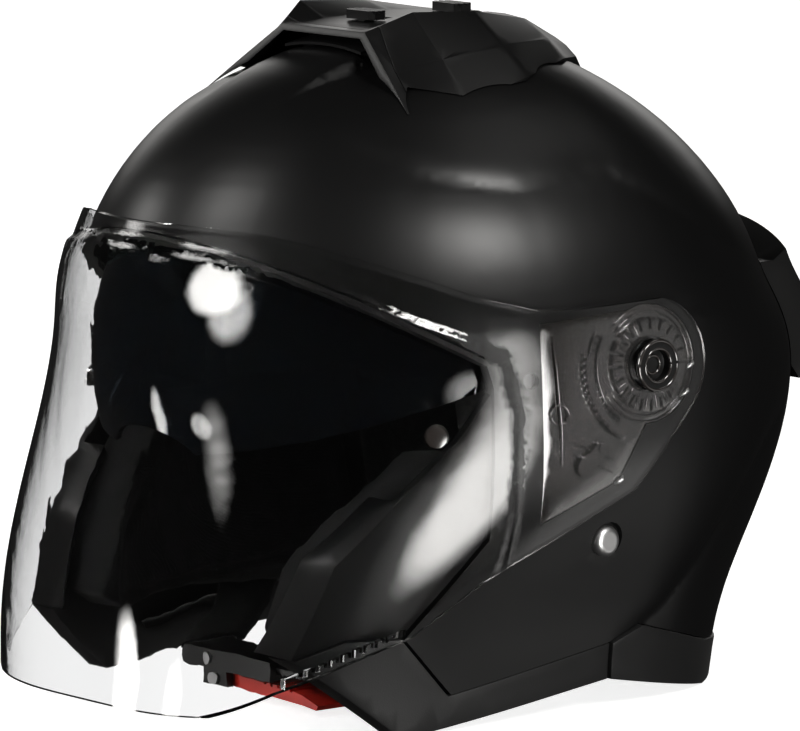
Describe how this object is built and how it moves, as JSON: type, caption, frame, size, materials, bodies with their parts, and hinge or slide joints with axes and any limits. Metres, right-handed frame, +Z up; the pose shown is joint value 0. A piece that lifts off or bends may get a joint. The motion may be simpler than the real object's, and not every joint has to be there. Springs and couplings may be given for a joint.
{
  "type": "open face motorcycle helmet",
  "caption": "Open face motorcycle helmet with a hinged clear face shield, drop-down sun visor, sliding crown vent and quick-release chin strap.",
  "frame": {"origin": "on the resting plane, under the middle of the helmet's box", "axes": "+Z up, the face looks towards -Y, +X is the wearer's left"},
  "size_m": [0.2568, 0.3217, 0.26],
  "materials": {
    "shell_paint": "satin black paint over a moulded thermoplastic shell",
    "clear_shield": "polished clear polycarbonate with a hard coat",
    "smoke_visor": "polished smoke tinted polycarbonate",
    "trim_rubber": "soft black edge rubber, fine matt grain",
    "black_plastic": "moulded black nylon, fine spark texture",
    "vent_plastic": "painted vent cover, satin black",
    "pivot_plastic": "grey brown moulded nylon",
    "liner_foam": "expanded polystyrene, black beads",
    "liner_fabric": "black knitted mesh fabric over foam",
    "webbing": "black polyester webbing, twill weave",
    "chrome_metal": "polished nickel plated steel",
    "steel": "zinc plated steel",
    "red_plastic": "moulded red plastic"
  },
  "bodies": {
    "helmet": {"outer_shell": "shell_paint", "spoiler": "shell_paint", "jaw_cover_left": "shell_paint", "jaw_cover_right": "shell_paint", "brow_gasket": "trim_rubber", "jaw_trim_left": "trim_rubber", "jaw_trim_right": "trim_rubber", "neck_trim": "trim_rubber", "vent_cover": "vent_plastic", "vent_frame": "black_plastic", "visor_cable": "steel", "eps_liner": "liner_foam", "crown_liner": "liner_fabric", "cheek_pad_left": "liner_fabric", "cheek_pad_right": "liner_fabric", "neck_roll": "liner_fabric", "strap_rivet_left": "chrome_metal", "strap_rivet_right": "chrome_metal", "strap_anchor_left": "steel", "strap_anchor_right": "steel", "chin_strap_left": "webbing", "chin_strap_right": "webbing", "buckle_body": "black_plastic", "buckle_rivet": "steel", "lever_pin": "steel", "lever_spring": "steel", "pivot_base_left": "pivot_plastic", "ratchet_ring_left": "pivot_plastic", "pivot_pin_left": "black_plastic", "sun_visor_pin_left": "steel", "pivot_base_right": "pivot_plastic", "ratchet_ring_right": "pivot_plastic", "pivot_pin_right": "black_plastic", "sun_visor_pin_right": "steel"},
    "shield": {"face_shield": "clear_shield", "shield_grip": "clear_shield", "insert_pin_left": "pivot_plastic", "insert_pin_right": "pivot_plastic"},
    "inner_visor": {"sun_visor": "smoke_visor"},
    "visor_slider": {"sun_visor_slider": "black_plastic"},
    "vent_gate": {"vent_shutter": "black_plastic", "vent_knob": "black_plastic"},
    "catch_left": {"shield_catch_left": "pivot_plastic"},
    "catch_right": {"shield_catch_right": "pivot_plastic"},
    "strap_tongue": {"ratchet_strip": "black_plastic"},
    "release": {"release_lever": "red_plastic"}
  },
  "joints": [
    {"name": "shield_hinge", "type": "hinge", "parent": "helmet", "child": "shield", "pos_m": [0, 0.0088, 0.133], "axis": [-1, 0, 0], "range_deg": [0, 56]},
    {"name": "sun_visor_hinge", "type": "hinge", "parent": "helmet", "child": "inner_visor", "pos_m": [0, -0.0412, 0.13], "axis": [-1, 0, 0], "range_deg": [0, 50]},
    {"name": "sun_visor_slide", "type": "slide", "parent": "helmet", "child": "visor_slider", "axis": [0, 1, 0], "range_m": [0, 0.022]},
    {"name": "vent_slide", "type": "slide", "parent": "helmet", "child": "vent_gate", "axis": [0, 0.9945, 0.1045], "range_m": [0, 0.008]},
    {"name": "catch_left_turn", "type": "hinge", "parent": "helmet", "child": "catch_left", "pos_m": [0.119, -0.0127, 0.1035], "axis": [-1, 0, 0], "range_deg": [0, 12], "stiffness_Nm_per_rad": 0.02, "springref_deg": -5.73},
    {"name": "catch_right_turn", "type": "hinge", "parent": "helmet", "child": "catch_right", "pos_m": [-0.119, -0.0127, 0.1035], "axis": [-1, 0, 0], "range_deg": [0, 12], "stiffness_Nm_per_rad": 0.02, "springref_deg": -5.73},
    {"name": "strip_slide", "type": "slide", "parent": "helmet", "child": "strap_tongue", "axis": [1, 0, 0], "range_m": [-0.004, 0.018]},
    {"name": "lever_hinge", "type": "hinge", "parent": "helmet", "child": "release", "pos_m": [-0.013, -0.0792, 0.0066], "axis": [0, 1, 0], "range_deg": [0, 25], "stiffness_Nm_per_rad": 0.02, "springref_deg": -34.38}
  ],
  "couplings": [
    {"joint": "sun_visor_slide", "follows": "sun_visor_hinge", "m_per_rad": 0.02521}
  ]
}
